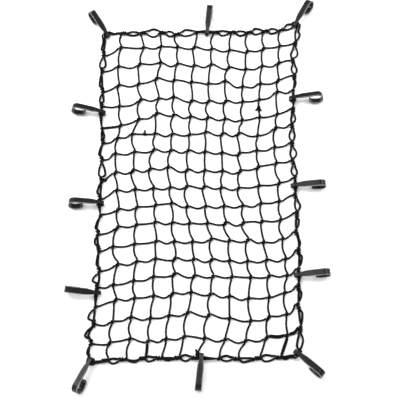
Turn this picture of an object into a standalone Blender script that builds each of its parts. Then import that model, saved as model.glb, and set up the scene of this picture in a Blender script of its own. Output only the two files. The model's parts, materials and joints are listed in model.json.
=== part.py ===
"""Cargo net laid out flat on the ground: a knotted elastic net, the border cord
laced round its edge, and twelve flat plastic strap hooks.

Metres, +Z up. X runs across the net and +Y runs up its long side. The origin is
the middle of the whole net's box, on the ground.
"""

import math
from collections import namedtuple
from random import Random

import bmesh
import bpy
import numpy as np
from mathutils import Matrix, Vector
from mathutils.kdtree import KDTree

MM = 0.001

# ---------------------------------------------------------------- driving sizes
CORD = 4.0 * MM            # diameter of the elastic cord
SQUARE_CORD = 1.25         # a four-sided cord of this times the diameter holds as much as a round one
KNOT = 7.2 * MM            # height and width of a knot of the mesh
EDGE_KNOT = 6.2 * MM       # height and width of a knot on the net's edge
GAP = 0.5 * MM             # clearance where two pieces touch

SAG = (4.0 * MM, 9.0 * MM)       # how far the cross legs hang back between two knots
LEG_CLEAR = 8.5 * MM             # from a knot's middle to where its legs are clear of it
LEG_LEAVES = 2.4 * MM            # how far beside the middle a leg leaves its knot
CROSS_LEG_ENTERS = 0.3 * MM      # how far below the middle a cross leg comes in
UPRIGHT_ENTERS = 1.2 * MM        # how far right of the middle an upright comes in
BOW = (5.0 * MM, 8.5 * MM)       # how far an edge leg and the border cord bow, to opposite sides
BOW_AT = (0.3, 0.7)              # the shares of an edge leg where they bow
CORNER_BOW = 9.0 * MM            # how far the border cord bows beside a corner, where the leg is straight
FIRST_BOW_AT = (0.45, 0.75)      # the shares of a side's first leg, clear of the corner before it
LAST_BOW_AT = (0.25, 0.55)       # and of its last leg, clear of the corner after it

EYE_HOLE = 6.0 * MM        # half the height of the long hole in a hook's eye
EYE_SLOT = 5.0 * MM        # how much longer than high the hole is
EYE_WALL = 2.8 * MM
STRAP = 3.2 * MM           # thickness of the hook's strap
HOOK_LENGTH = 100.0 * MM
HOOK_DEPTH = 34.0 * MM     # over the J, across the strap
J_RETURN = 27.0 * MM       # from the end of the hook to where the J's return curls up
J_CURL = 14.0 * MM         # outer radius of that curl
CURL_TURN = 52             # how far it turns up, in degrees
EYE_WIDTH = 10.5 * MM      # the strap's width at the eye
J_WIDTH = 18.5 * MM        # and from WIDE_FROM on
WIDE_FROM = 26.0 * MM      # from the middle of the held cords to where the strap is at full width
EYE_GRIP = 8.0 * MM        # the net's leg runs straight this far each side of an eye
CORNER_GRIP = 12.0 * MM    # and the border cord this far, round the outside of a corner

# The net lies as in a picture of it, 400 pixels a side, taken from above its near side. The line of
# sight through the picture's middle comes down to the ground at the origin of the table below.
PICTURE_MIDDLE = 200.0               # across and down, in pixels
SIGHT_TILT = math.radians(74.0)      # how steeply that line comes down
SIGHT_LENGTH = 2033.6 * MM           # from the eye to the ground along it
PIXEL = 2.84 * MM                    # size of a pixel there, which makes the meshes about 50 mm wide
SEEN_HEIGHT = 3.0 * MM               # height of the knots' middles

# One row for each row of knots, from the far edge to the near one: the place in that picture where
# its cross cord meets the left edge, five of the ten upright cords and the right edge, in pixels
# across and down, read by eye to half a pixel.
Row = namedtuple("Row", "left first third fifth eighth tenth right")
STATIONS = (0, 1, 3, 5, 8, 10, 11)     # the columns of those knots
KNOT_ROWS = [
    Row((106.5, 35.5), (122, 34), (161, 33), (197, 33), (248, 33), (280, 31), (296, 25.5)),
    Row((103.5, 56), (121, 48), (161, 47), (194, 48), (247, 52), (279.5, 46.5), (295.5, 43)),
    Row((102, 73), (118.5, 67), (160.5, 63), (194, 66), (245.5, 69.5), (278.5, 63.5), (292.5, 60)),
    Row((102.5, 92.5), (118.5, 86), (156.5, 79), (191.5, 82.5), (242.5, 87), (278, 81), (294.5, 75.5)),
    Row((101.5, 107.5), (119.5, 106.5), (158.5, 99), (191.5, 101.5), (242.5, 102), (277, 92.5), (293, 91)),
    Row((102, 129), (120.5, 126), (156.5, 114), (190.5, 117), (242, 120.5), (277, 114.5), (293, 108.5)),
    Row((103, 143.5), (117.5, 138.5), (155, 134), (189.5, 135), (238.5, 134), (275.5, 128.5), (292, 124.5)),
    Row((101.5, 161.5), (115.5, 154), (153.5, 150.5), (188, 151), (239, 154), (274.5, 147.5), (292, 142.5)),
    Row((101.5, 182), (115.5, 173), (150, 169.5), (187, 170.5), (240, 171.5), (276, 163.5), (292.5, 160.5)),
    Row((99.5, 199.5), (117, 190.5), (153.5, 188.5), (186.5, 187), (238.5, 188.5), (279, 183.5), (295, 177.5)),
    Row((100.5, 216), (118, 210), (155.5, 205.5), (187, 207), (242.5, 206), (279, 201.5), (295, 194.5)),
    Row((97.5, 235), (117.5, 228), (155, 222.5), (189.5, 223.5), (243, 223.5), (280.5, 220), (297, 212.5)),
    Row((99, 252), (113, 247), (156, 241.5), (192.5, 242), (247.5, 240.5), (282.5, 239), (296, 231)),
    Row((99, 272), (117.5, 265), (155.5, 259), (193.5, 259.5), (247.5, 261.5), (285.5, 259), (298.5, 249)),
    Row((97, 288), (113.5, 285), (153.5, 277), (194, 276.5), (250.5, 277.5), (287, 275.5), (298.5, 269)),
    Row((95.5, 307), (115.5, 300.5), (153.5, 296), (191, 292.5), (248.5, 298.5), (284.5, 293), (298.5, 285)),
    Row((93.5, 326), (112.5, 322), (150.5, 318.5), (187.5, 313), (250.5, 321), (286.5, 314.5), (298, 304.5)),
    Row((90.5, 344.5), (109.5, 343.5), (148, 341.5), (184, 337), (245.5, 341), (287, 335.5), (300.5, 327.5)),
    Row((91, 362.5), (107, 360.5), (144.5, 358.5), (179.5, 358), (238.5, 359), (281, 357.5), (297.5, 354)),
]
ROWS = len(KNOT_ROWS)
COLUMNS = 12               # ten upright cords inside, and the net's two sides
LAST_ROW = ROWS - 1
LAST_COLUMN = COLUMNS - 1

# The knots between those columns that lie well off the straight line, read in the same way.
Stray = namedtuple("Stray", "row column place")
STRAYS = [
    Stray(0, 4, (176, 35)), Stray(1, 2, (143.5, 48)), Stray(2, 6, (211, 65)),
    Stray(3, 2, (138.5, 84.5)), Stray(3, 7, (225, 81.5)), Stray(4, 2, (140.5, 100.5)),
    Stray(4, 4, (173.5, 97.5)), Stray(4, 9, (259, 100)), Stray(6, 2, (132.5, 134.5)),
    Stray(6, 6, (205.5, 132.5)), Stray(6, 9, (257.5, 136)), Stray(8, 4, (168, 167.5)),
    Stray(10, 4, (171.5, 203.5)), Stray(12, 6, (211, 239.5)), Stray(12, 9, (263.5, 242.5)),
    Stray(14, 4, (174, 274.5)), Stray(15, 9, (269, 297.5)), Stray(16, 2, (131, 317.5)),
    Stray(17, 2, (130, 339)), Stray(18, 6, (196.5, 358)),
]

# One row for each hook: the side whose edge it grips, the number of the edge leg along that
# side, the place of its eye along the leg, and in degrees where it points and how far it has
# rolled over on the ground. A corner hook grips a cut corner of the net: its leg is the
# corner's number, clockwise from the top left one.
Hook = namedtuple("Hook", "name side leg along heading roll")
HOOKS = [
    Hook("hook_top_left", "corner", 0, 0.0, 126, 10),
    Hook("hook_top_middle", "top", 5, 0.60, 84, 0),
    Hook("hook_top_right", "corner", 1, 0.0, 55, -19),
    Hook("hook_right_upper", "right", 4, 0.52, -1, -22),
    Hook("hook_right_middle", "right", 9, 0.52, 1, -4),
    Hook("hook_right_lower", "right", 14, 0.40, 3, -5),
    Hook("hook_bottom_right", "corner", 2, 0.0, -43, -7),
    Hook("hook_bottom_middle", "bottom", 6, 0.22, -96, 0),
    Hook("hook_bottom_left", "corner", 3, 0.0, -111, 25),
    Hook("hook_left_lower", "left", 14, 0.26, 173, -10),
    Hook("hook_left_middle", "left", 9, 0.30, 183, 20),
    Hook("hook_left_upper", "left", 4, 0.30, 175, 18),
]

EYE_OUTER = EYE_HOLE + EYE_WALL
CORD_REACH = CORD * SQUARE_CORD / 2          # from the middle of a four-sided cord to its ridges
CROSSING = EDGE_KNOT + GAP + CORD_REACH      # height of the border cord where it crosses a knot
SIDE_BY_SIDE = CORD_REACH + GAP / 2          # half the distance between two cords in an eye


def clear_scene():
    """Take every object out of the scene."""
    for obj in list(bpy.data.objects):
        bpy.data.objects.remove(obj)


def make_material(name, colour, roughness):
    """A plain Principled material."""
    material = bpy.data.materials.new(name)
    material.use_nodes = True
    shader = material.node_tree.nodes["Principled BSDF"]
    shader.inputs["Base Color"].default_value = (*colour, 1.0)
    shader.inputs["Roughness"].default_value = roughness
    shader.inputs["Metallic"].default_value = 0.0
    return material


# ---------------------------------------------------------------- where the cords lie
def on_ground(across, down):
    """The place x and y that a pixel of the picture shows, at the height of the knots' middles.

    From the eye, the pixel's line of sight runs to the right, up and ahead. Turned down by the
    tilt, it is followed until it has come down to that height.
    """
    right = (across - PICTURE_MIDDLE) * PIXEL
    up = (PICTURE_MIDDLE - down) * PIXEL
    eye_height = SIGHT_LENGTH * math.sin(SIGHT_TILT)
    eye_before = SIGHT_LENGTH * math.cos(SIGHT_TILT)
    north = eye_before + up * math.sin(SIGHT_TILT)
    fall = eye_height - up * math.cos(SIGHT_TILT)
    share = (eye_height - SEEN_HEIGHT) / fall
    return right * share, north * share - eye_before


def knot_places():
    """Every knot's place on the ground: x and y, by row and column.

    The knots between two stations of a row lie on the straight line between them, but for the
    stray ones.
    """
    places = np.zeros((ROWS, COLUMNS, 2))
    for row, knots in enumerate(KNOT_ROWS):
        stations = np.array([on_ground(*place) for place in knots])
        for axis in range(2):
            places[row, :, axis] = np.interp(range(COLUMNS), STATIONS, stations[:, axis])
    for stray in STRAYS:
        places[stray.row, stray.column] = on_ground(*stray.place)
    return places


def cross_leg(start, end, sag):
    """A leg between two knots of a row: out at the upper right, back in a sag, in from the left."""
    start_side = start + (LEG_CLEAR, LEG_LEAVES)
    end_side = end - (LEG_CLEAR, CROSS_LEG_ENTERS)
    middle = (start + end) / 2 - (0, sag)
    return [start_side, middle, end_side]


def upright_leg(start, end):
    """A leg between two knots of an upright: out at the lower left, in at the top."""
    return [start + (-LEG_LEAVES, -LEG_CLEAR), end + (UPRIGHT_ENTERS, LEG_CLEAR)]


class Edge:
    """One leg of the net's edge with the border cord beside it, from one edge knot to the next.

    Each is two points on its way between the knots. The bows are distances outwards.
    """

    def __init__(self, start, end):
        self.start, self.end = start, end
        self.net, self.border = [], []

    def bowed(self, shares, outward, net_bow, border_bow):
        """Both cords bow out from the straight line at the two shares of the way."""
        for share in shares:
            on_line = self.start.lerp(self.end, share)
            self.net.append(on_line + outward * net_bow)
            self.border.append(on_line + outward * border_bow)
        return self

    def gripped(self, eye, border_grip=EYE_GRIP):
        """Both cords run straight and side by side through a hook's eye, along its axis."""
        self.net = [eye @ Vector((-SIDE_BY_SIDE, 0, grip)) for grip in (EYE_GRIP, -EYE_GRIP)]
        self.border = [eye @ Vector((SIDE_BY_SIDE, 0, grip)) for grip in (border_grip, -border_grip)]
        if (self.net[0] - self.start).length > (self.net[1] - self.start).length:
            self.net.reverse()
            self.border.reverse()
        return self


def eye_frame(hook, place):
    """A hook's frame: x along the strap, y away from the ground, z along the eye's axis."""
    heading = math.radians(hook.heading)
    along = Vector((math.cos(heading), math.sin(heading), 0))
    turn = Matrix((along, Vector((0, 0, 1)), along.cross(Vector((0, 0, 1))))).transposed()
    roll = Matrix.Rotation(math.radians(hook.roll), 3, "X")
    frame = (turn @ roll).to_4x4()
    tilt = math.radians(abs(hook.roll))
    above_ground = EYE_OUTER * math.cos(tilt) + J_WIDTH / 2 * math.sin(tilt)
    frame.translation = Vector((place.x, place.y, above_ground))
    return frame


def net_edge(places, rng):
    """The whole edge as Edge legs, in order round the net, and each hook's frame by its name.

    Each corner is cut: the corner knot gives way to the two ends of a short leg in the hook's eye.
    """
    def knot(row, column):
        return Vector((*places[row, column], EDGE_KNOT / 2))

    sides = {
        "top": ([knot(0, c) for c in range(COLUMNS)], Vector((0, 1, 0))),
        "right": ([knot(r, LAST_COLUMN) for r in range(ROWS)], Vector((1, 0, 0))),
        "bottom": ([knot(LAST_ROW, c) for c in range(COLUMNS)], Vector((0, -1, 0))),
        "left": ([knot(r, 0) for r in range(ROWS)], Vector((-1, 0, 0))),
    }
    corners = [knot(0, 0), knot(0, LAST_COLUMN), knot(LAST_ROW, LAST_COLUMN), knot(LAST_ROW, 0)]
    frames, legs = {}, {}
    for hook in HOOKS:
        if hook.side == "corner":
            frames[hook.name] = eye_frame(hook, corners[hook.leg])
        else:
            knots = sides[hook.side][0]
            frames[hook.name] = eye_frame(hook, knots[hook.leg].lerp(knots[hook.leg + 1], hook.along))
    held = {(hook.side, hook.leg): frames[hook.name] for hook in HOOKS}
    for side, (knots, outward) in sides.items():
        last_leg = len(knots) - 2
        for leg, (start, end) in enumerate(zip(knots, knots[1:])):
            edge = Edge(start, end)
            bow = rng.uniform(*BOW) * (1 if leg % 2 else -1)
            if (side, leg) in held:
                legs[side, leg] = edge.gripped(held[side, leg])
            elif leg == 0:
                legs[side, leg] = edge.bowed(FIRST_BOW_AT, outward, 0.0, CORNER_BOW)
            elif leg == last_leg:
                legs[side, leg] = edge.bowed(LAST_BOW_AT, outward, 0.0, CORNER_BOW)
            else:
                legs[side, leg] = edge.bowed(BOW_AT, outward, bow, -bow)
    for number, place in enumerate(corners):
        edge = Edge(place, place)
        legs["corner", number] = edge.gripped(held["corner", number], CORNER_GRIP)
    return legs, frames


# ---------------------------------------------------------------- the net
def cords_from_lattice(lattice):
    """Turn a flat lattice's edges into four-sided cords, as wide as its vertex group says."""
    wire = lattice.modifiers.new("cords", "WIREFRAME")
    wire.thickness = KNOT
    wire.offset = 0.0
    wire.use_boundary = True
    wire.use_even_offset = True
    wire.use_relative_offset = False
    wire.use_replace = True
    wire.vertex_group = "cord"
    wire.thickness_vertex_group = 0.0
    bpy.context.scene.collection.objects.link(lattice)
    bpy.context.view_layer.update()
    graph = bpy.context.evaluated_depsgraph_get()
    mesh = bpy.data.meshes.new_from_object(lattice.evaluated_get(graph))
    bpy.data.objects.remove(lattice)
    return mesh


def build_net(places, legs, rng, material):
    """The net: a flat lattice with a face for each mesh, made into cords and then laid at its heights.

    Every point of a cord is raised by the height of the lattice point that it goes round, so a
    knot or a leg lies on the ground and a leg in a hook's eye runs through the eye.
    """
    mesh = bpy.data.meshes.new("lattice")
    bm = bmesh.new()
    thickness = bm.verts.layers.deform.verify()
    heights = []

    def point(place, size):
        vert = bm.verts.new((place[0], place[1], 0.0))
        vert[thickness][0] = size / KNOT
        heights.append((vert.co.copy(), place[2]))
        return vert

    def lifted(flat):
        return point((flat[0], flat[1], CORD_REACH), 2 * CORD_REACH)

    corner_at = {(0, 0): 0, (0, LAST_COLUMN): 1, (LAST_ROW, LAST_COLUMN): 2, (LAST_ROW, 0): 3}
    knots, across, down = {}, {}, {}
    for row in range(ROWS):
        for column in range(COLUMNS):
            inside = 0 < row < LAST_ROW and 0 < column < LAST_COLUMN
            size = KNOT if inside else EDGE_KNOT
            if (row, column) in corner_at:
                corner = corner_at[row, column]
                knots[row, column] = [point(p, 2 * CORD_REACH) for p in legs["corner", corner].net]
            else:
                knots[row, column] = [point((*places[row, column], size / 2), size)]
    for row in range(ROWS):
        for column in range(LAST_COLUMN):
            if row in (0, LAST_ROW):
                edge = legs["top" if row == 0 else "bottom", column]
                across[row, column] = [point(p, 2 * CORD_REACH) for p in edge.net]
            else:
                flat = cross_leg(places[row, column], places[row, column + 1], rng.uniform(*SAG))
                across[row, column] = [lifted(p) for p in flat]
    for row in range(LAST_ROW):
        for column in range(COLUMNS):
            if column in (0, LAST_COLUMN):
                edge = legs["left" if column == 0 else "right", row]
                down[row, column] = [point(p, 2 * CORD_REACH) for p in edge.net]
            else:
                flat = upright_leg(places[row, column], places[row + 1, column])
                down[row, column] = [lifted(p) for p in flat]

    def turned(verts, towards):
        """The two points of a cut corner, with the one nearest to towards last."""
        if len(verts) == 1:
            return verts
        return sorted(verts, key=lambda v: -(v.co - towards.co).length)

    for row in range(LAST_ROW):
        for column in range(LAST_COLUMN):
            top, bottom = across[row, column], across[row + 1, column][::-1]
            right, left = down[row, column + 1], down[row, column][::-1]
            loop = turned(knots[row, column], top[0]) + top
            loop += turned(knots[row, column + 1], right[0]) + right
            loop += turned(knots[row + 1, column + 1], bottom[0]) + bottom
            loop += turned(knots[row + 1, column], left[0]) + left
            bm.faces.new(loop[::-1])
    bm.normal_update()
    bm.to_mesh(mesh)
    bm.free()
    lattice = bpy.data.objects.new("lattice", mesh)
    lattice.vertex_groups.new(name="cord")
    cords = cords_from_lattice(lattice)

    nearest = KDTree(len(heights))
    for number, (place, height) in enumerate(heights):
        nearest.insert(place, number)
    nearest.balance()
    for vert in cords.vertices:
        _, number, _ = nearest.find((vert.co.x, vert.co.y, 0.0))
        vert.co.z += heights[number][1]
    cords.name = "net"
    cords.materials.clear()
    cords.materials.append(material)
    return bpy.data.objects.new("net", cords)


# ---------------------------------------------------------------- the border cord
def border_route(legs):
    """The border cord's points, once round the net and closed.

    It crosses over every edge knot and bows away from the net's own leg between two of them.
    """
    route = []

    def follow(edge, backwards=False):
        points = list(edge.border)
        route.extend(reversed(points) if backwards else points)

    def cross(place):
        route.append(Vector((place.x, place.y, CROSSING)))

    def side(name, count, backwards):
        order = range(count - 1, -1, -1) if backwards else range(count)
        for number, leg in enumerate(order):
            edge = legs[name, leg]
            if number:
                cross(edge.end if backwards else edge.start)
            follow(edge, backwards)

    def corner(number, next_place):
        points = list(legs["corner", number].border)
        route.extend(sorted(points, key=lambda p: -(p - next_place).length))

    corner(0, legs["top", 0].border[0])
    side("top", LAST_COLUMN, False)
    corner(1, legs["right", 0].border[0])
    side("right", LAST_ROW, False)
    corner(2, legs["bottom", LAST_COLUMN - 1].border[1])
    side("bottom", LAST_COLUMN, True)
    corner(3, legs["left", LAST_ROW - 1].border[1])
    side("left", LAST_ROW, True)
    return route


def build_border_cord(legs, material):
    """A closed four-sided tube along the border cord's route."""
    curve = bpy.data.curves.new("border_cord", "CURVE")
    curve.dimensions = "3D"
    curve.twist_mode = "Z_UP"
    curve.bevel_depth = CORD_REACH
    curve.bevel_resolution = 0
    route = border_route(legs)
    spline = curve.splines.new("POLY")
    spline.points.add(len(route) - 1)
    for spot, place in zip(spline.points, route):
        spot.co = (*place, 1.0)
    spline.use_cyclic_u = True
    curve.materials.append(material)
    return bpy.data.objects.new("border_cord", curve)


# ---------------------------------------------------------------- the hooks
def arc(centre, radius, start, end, steps):
    """Points on a circle from the angle start to the angle end, both in degrees."""
    angles = np.radians(np.linspace(start, end, steps + 1))
    return [Vector((centre[0] + radius * math.cos(a), centre[1] + radius * math.sin(a))) for a in angles]


def on_line(start, end, x):
    """The point between start and end that has the given x."""
    return start.lerp(end, (x - start.x) / (end.x - start.x))


def hook_outline():
    """The hook seen from its side: the strap from the eye to the J, and the J's return.

    The held cords' middle is at the origin, the front end of the eye's long hole. The strap's
    top runs along the common tangent of the eye's rear end and the J's bend. The return lies flat
    under the bend, and its tip curls up.
    """
    bend = HOOK_DEPTH / 2
    rear = Vector((-EYE_SLOT, 0))
    middle = rear + Vector((HOOK_LENGTH - EYE_OUTER - bend, bend - EYE_OUTER))
    run = middle - rear
    slope = math.atan2(run.y, run.x) + math.asin((bend - EYE_OUTER) / run.length)
    lean = 90 + math.degrees(slope)
    meets = math.degrees(math.acos((EYE_OUTER - STRAP + EYE_SLOT * math.sin(slope)) / EYE_OUTER))
    outer = arc(middle, bend, lean, -90, steps=10)
    curl = (middle.x + bend - J_RETURN, J_CURL - EYE_OUTER)
    curl_outer = arc(curl, J_CURL, -90, -90 - CURL_TURN, steps=4)
    curl_inner = arc(curl, J_CURL - STRAP, -90 - CURL_TURN, -90, steps=4)
    tip = (curl_outer[-1] + curl_inner[0]) / 2
    end = arc(tip, STRAP / 2, -90 - CURL_TURN, -270 - CURL_TURN, steps=4)[1:-1]
    inner = arc(middle, bend - STRAP, -90, lean, steps=8)
    front = arc((0, 0), EYE_OUTER, lean - meets, -90, steps=5)
    back = arc(rear, EYE_OUTER, -90, lean - 360, steps=7)
    under_strap = on_line(inner[-1], front[0], WIDE_FROM)
    over_strap = on_line(back[-1], outer[0], WIDE_FROM)
    strap_and_eye = [under_strap] + front + back + [over_strap]
    return outer + curl_outer + end + curl_inner + inner + strap_and_eye


def eye_hole():
    """The long hole of the eye, with a round end at the origin and one behind it."""
    return arc((0, 0), EYE_HOLE, -90, 90, steps=5) + arc((-EYE_SLOT, 0), EYE_HOLE, 90, 270, steps=5)


def hook_mesh(material):
    """The hook's outline and the hole of its eye, extruded and drawn in towards the eye."""
    curve = bpy.data.curves.new("hook", "CURVE")
    curve.dimensions = "2D"
    curve.fill_mode = "BOTH"
    curve.extrude = 1.0
    for outline in (hook_outline(), eye_hole()):
        spline = curve.splines.new("POLY")
        spline.points.add(len(outline) - 1)
        for spot, place in zip(spline.points, outline):
            spot.co = (*place, 0.0, 1.0)
        spline.use_cyclic_u = True
    guide = bpy.data.objects.new("hook_outline", curve)
    bpy.context.scene.collection.objects.link(guide)
    bpy.context.view_layer.update()
    mesh = bpy.data.meshes.new_from_object(guide.evaluated_get(bpy.context.evaluated_depsgraph_get()))
    bpy.data.objects.remove(guide)
    bm = bmesh.new()
    bm.from_mesh(mesh)
    bmesh.ops.remove_doubles(bm, verts=bm.verts, dist=0.01 * MM)
    for vert in bm.verts:
        share = min(max(vert.co.x / WIDE_FROM, 0.0), 1.0)
        width = EYE_WIDTH + (J_WIDTH - EYE_WIDTH) * share
        vert.co.z = math.copysign(width / 2, vert.co.z)
    bmesh.ops.recalc_face_normals(bm, faces=bm.faces)
    bm.to_mesh(mesh)
    bm.free()
    mesh.materials.clear()
    mesh.materials.append(material)
    mesh.name = "hook"
    return mesh


# ---------------------------------------------------------------- the whole net
def lowest_middle(objects):
    """The middle of the floor of the box round all the objects, as they are evaluated."""
    graph = bpy.context.evaluated_depsgraph_get()
    corners = []
    for obj in objects:
        evaluated = obj.evaluated_get(graph)
        mesh = evaluated.to_mesh()
        corners += [evaluated.matrix_world @ vert.co for vert in mesh.vertices]
        evaluated.to_mesh_clear()
    low = Vector([min(c[axis] for c in corners) for axis in range(3)])
    high = Vector([max(c[axis] for c in corners) for axis in range(3)])
    return Vector(((low.x + high.x) / 2, (low.y + high.y) / 2, low.z))


def build():
    clear_scene()
    collection = bpy.data.collections.new("cargo_net")
    bpy.context.scene.collection.children.link(collection)
    cord_black = make_material("elastic_cord", (0.012, 0.012, 0.013), 0.8)
    hook_grey = make_material("moulded_plastic", (0.035, 0.035, 0.037), 0.4)
    rng = Random(12)

    places = knot_places()
    legs, frames = net_edge(places, rng)
    pieces = [build_net(places, legs, rng, cord_black), build_border_cord(legs, cord_black)]
    shape = hook_mesh(hook_grey)
    for hook in HOOKS:
        piece = bpy.data.objects.new(hook.name, shape)
        piece.matrix_world = frames[hook.name]
        pieces.append(piece)

    ground = bpy.data.objects.new("ground_middle", None)
    collection.objects.link(ground)
    for piece in pieces:
        collection.objects.link(piece)
        piece.parent = ground
    bpy.context.view_layer.update()
    ground.location = -lowest_middle(pieces)
    bpy.context.view_layer.update()


build()
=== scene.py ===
"""A black elastic cargo net with twelve flat strap hooks, laid out on a pale floor.

Metres, +Z up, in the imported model's frame. The sections follow the net as it is put together: how
it lies, the floor, light and camera it is seen in, the knotted net, the border cord, and the hooks.
"""

import json
import math
from collections import namedtuple
from random import Random

import bpy
import numpy as np
from mathutils import Matrix, Vector


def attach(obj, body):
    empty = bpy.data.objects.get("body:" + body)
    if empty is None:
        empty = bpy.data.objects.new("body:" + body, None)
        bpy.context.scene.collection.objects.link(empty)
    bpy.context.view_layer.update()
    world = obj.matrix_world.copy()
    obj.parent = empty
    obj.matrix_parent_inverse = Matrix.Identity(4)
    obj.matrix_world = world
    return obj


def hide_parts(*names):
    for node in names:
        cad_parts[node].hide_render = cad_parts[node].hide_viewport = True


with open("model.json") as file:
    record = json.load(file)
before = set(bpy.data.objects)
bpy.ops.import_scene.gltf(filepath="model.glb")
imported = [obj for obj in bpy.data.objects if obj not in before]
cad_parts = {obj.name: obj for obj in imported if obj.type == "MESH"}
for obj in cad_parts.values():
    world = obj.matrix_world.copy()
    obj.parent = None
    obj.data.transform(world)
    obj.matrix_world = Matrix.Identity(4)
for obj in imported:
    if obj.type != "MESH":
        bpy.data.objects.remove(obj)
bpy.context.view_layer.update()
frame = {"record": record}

MM = 0.001

# ---------------------------------------------------------------- how the net lies
# Thrown down flat, the net keeps its nineteen rows of twelve knots, unevenly. Their places are read
# to half a pixel in a picture of it 400 pixels a side, taken from above its near side.
PICTURE_MIDDLE = 200.0           # across and down, in pixels
SIGHT_TILT = math.radians(74.0)  # how steeply the line of sight through it comes down
SIGHT_LENGTH = 2033.6 * MM       # from the eye to the ground along that line
PIXEL = 2.84 * MM                # size of a pixel there
SEEN_HEIGHT = 3.0 * MM           # height of the knots' middles

Row = namedtuple("Row", "left first third fifth eighth tenth right")
STATIONS = (0, 1, 3, 5, 8, 10, 11)
KNOT_ROWS = [
    Row((106.5, 35.5), (122, 34), (161, 33), (197, 33), (248, 33), (280, 31), (296, 25.5)),
    Row((103.5, 56), (121, 48), (161, 47), (194, 48), (247, 52), (279.5, 46.5), (295.5, 43)),
    Row((102, 73), (118.5, 67), (160.5, 63), (194, 66), (245.5, 69.5), (278.5, 63.5), (292.5, 60)),
    Row((102.5, 92.5), (118.5, 86), (156.5, 79), (191.5, 82.5), (242.5, 87), (278, 81), (294.5, 75.5)),
    Row((101.5, 107.5), (119.5, 106.5), (158.5, 99), (191.5, 101.5), (242.5, 102), (277, 92.5), (293, 91)),
    Row((102, 129), (120.5, 126), (156.5, 114), (190.5, 117), (242, 120.5), (277, 114.5), (293, 108.5)),
    Row((103, 143.5), (117.5, 138.5), (155, 134), (189.5, 135), (238.5, 134), (275.5, 128.5), (292, 124.5)),
    Row((101.5, 161.5), (115.5, 154), (153.5, 150.5), (188, 151), (239, 154), (274.5, 147.5), (292, 142.5)),
    Row((101.5, 182), (115.5, 173), (150, 169.5), (187, 170.5), (240, 171.5), (276, 163.5), (292.5, 160.5)),
    Row((99.5, 199.5), (117, 190.5), (153.5, 188.5), (186.5, 187),
        (238.5, 188.5), (279, 183.5), (295, 177.5)),
    Row((100.5, 216), (118, 210), (155.5, 205.5), (187, 207), (242.5, 206), (279, 201.5), (295, 194.5)),
    Row((97.5, 235), (117.5, 228), (155, 222.5), (189.5, 223.5), (243, 223.5), (280.5, 220), (297, 212.5)),
    Row((99, 252), (113, 247), (156, 241.5), (192.5, 242), (247.5, 240.5), (282.5, 239), (296, 231)),
    Row((99, 272), (117.5, 265), (155.5, 259), (193.5, 259.5), (247.5, 261.5), (285.5, 259), (298.5, 249)),
    Row((97, 288), (113.5, 285), (153.5, 277), (194, 276.5), (250.5, 277.5), (287, 275.5), (298.5, 269)),
    Row((95.5, 307), (115.5, 300.5), (153.5, 296), (191, 292.5), (248.5, 298.5), (284.5, 293), (298.5, 285)),
    Row((93.5, 326), (112.5, 322), (150.5, 318.5), (187.5, 313), (250.5, 321), (286.5, 314.5), (298, 304.5)),
    Row((90.5, 344.5), (109.5, 343.5), (148, 341.5), (184, 337), (245.5, 341), (287, 335.5), (300.5, 327.5)),
    Row((91, 362.5), (107, 360.5), (144.5, 358.5), (179.5, 358), (238.5, 359), (281, 357.5), (297.5, 354)),
]
LAST_ROW, LAST_COLUMN = 18, 11

# The knots between those columns that lie well off the straight line, read in the same way.
Stray = namedtuple("Stray", "row column place")
STRAYS = [
    Stray(0, 4, (176, 35)), Stray(1, 2, (143.5, 48)), Stray(2, 6, (211, 65)),
    Stray(3, 2, (138.5, 84.5)), Stray(3, 7, (225, 81.5)), Stray(4, 2, (140.5, 100.5)),
    Stray(4, 4, (173.5, 97.5)), Stray(4, 9, (259, 100)), Stray(6, 2, (132.5, 134.5)),
    Stray(6, 6, (205.5, 132.5)), Stray(6, 9, (257.5, 136)), Stray(8, 4, (168, 167.5)),
    Stray(10, 4, (171.5, 203.5)), Stray(12, 6, (211, 239.5)), Stray(12, 9, (263.5, 242.5)),
    Stray(14, 4, (174, 274.5)), Stray(15, 9, (269, 297.5)), Stray(16, 2, (131, 317.5)),
    Stray(17, 2, (130, 339)), Stray(18, 6, (196.5, 358)),
]

# One row for each hook, as in the model: the edge leg that its eye grips, the eye's place along
# the leg, and in degrees where the hook points and how far it has rolled over on the ground.
Hook = namedtuple("Hook", "name side leg along heading roll")
HOOKS = [
    Hook("hook_top_left", "corner", 0, 0.0, 126, 10),
    Hook("hook_top_middle", "top", 5, 0.60, 84, 0),
    Hook("hook_top_right", "corner", 1, 0.0, 55, -19),
    Hook("hook_right_upper", "right", 4, 0.52, -1, -22),
    Hook("hook_right_middle", "right", 9, 0.52, 1, -4),
    Hook("hook_right_lower", "right", 14, 0.40, 3, -5),
    Hook("hook_bottom_right", "corner", 2, 0.0, -43, -7),
    Hook("hook_bottom_middle", "bottom", 6, 0.22, -96, 0),
    Hook("hook_bottom_left", "corner", 3, 0.0, -111, 25),
    Hook("hook_left_lower", "left", 14, 0.26, 173, -10),
    Hook("hook_left_middle", "left", 9, 0.30, 183, 20),
    Hook("hook_left_upper", "left", 4, 0.30, 175, 18),
]
TOP_HOOK = HOOKS[1]
SEAT_REACH = 64.2 * MM           # along a hook, from the cords in its eye to the seat in its J


def on_ground(across, down):
    """The place x and y that a pixel of the picture shows, at the height of the knots' middles.

    From the eye, the pixel's line of sight runs to the right, up and ahead. Turned down by the
    tilt, it is followed until it has come down to that height.
    """
    right, up = (across - PICTURE_MIDDLE) * PIXEL, (PICTURE_MIDDLE - down) * PIXEL
    eye_height, eye_before = SIGHT_LENGTH * math.sin(SIGHT_TILT), SIGHT_LENGTH * math.cos(SIGHT_TILT)
    share = (eye_height - SEEN_HEIGHT) / (eye_height - up * math.cos(SIGHT_TILT))
    return right * share, (eye_before + up * math.sin(SIGHT_TILT)) * share - eye_before


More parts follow.
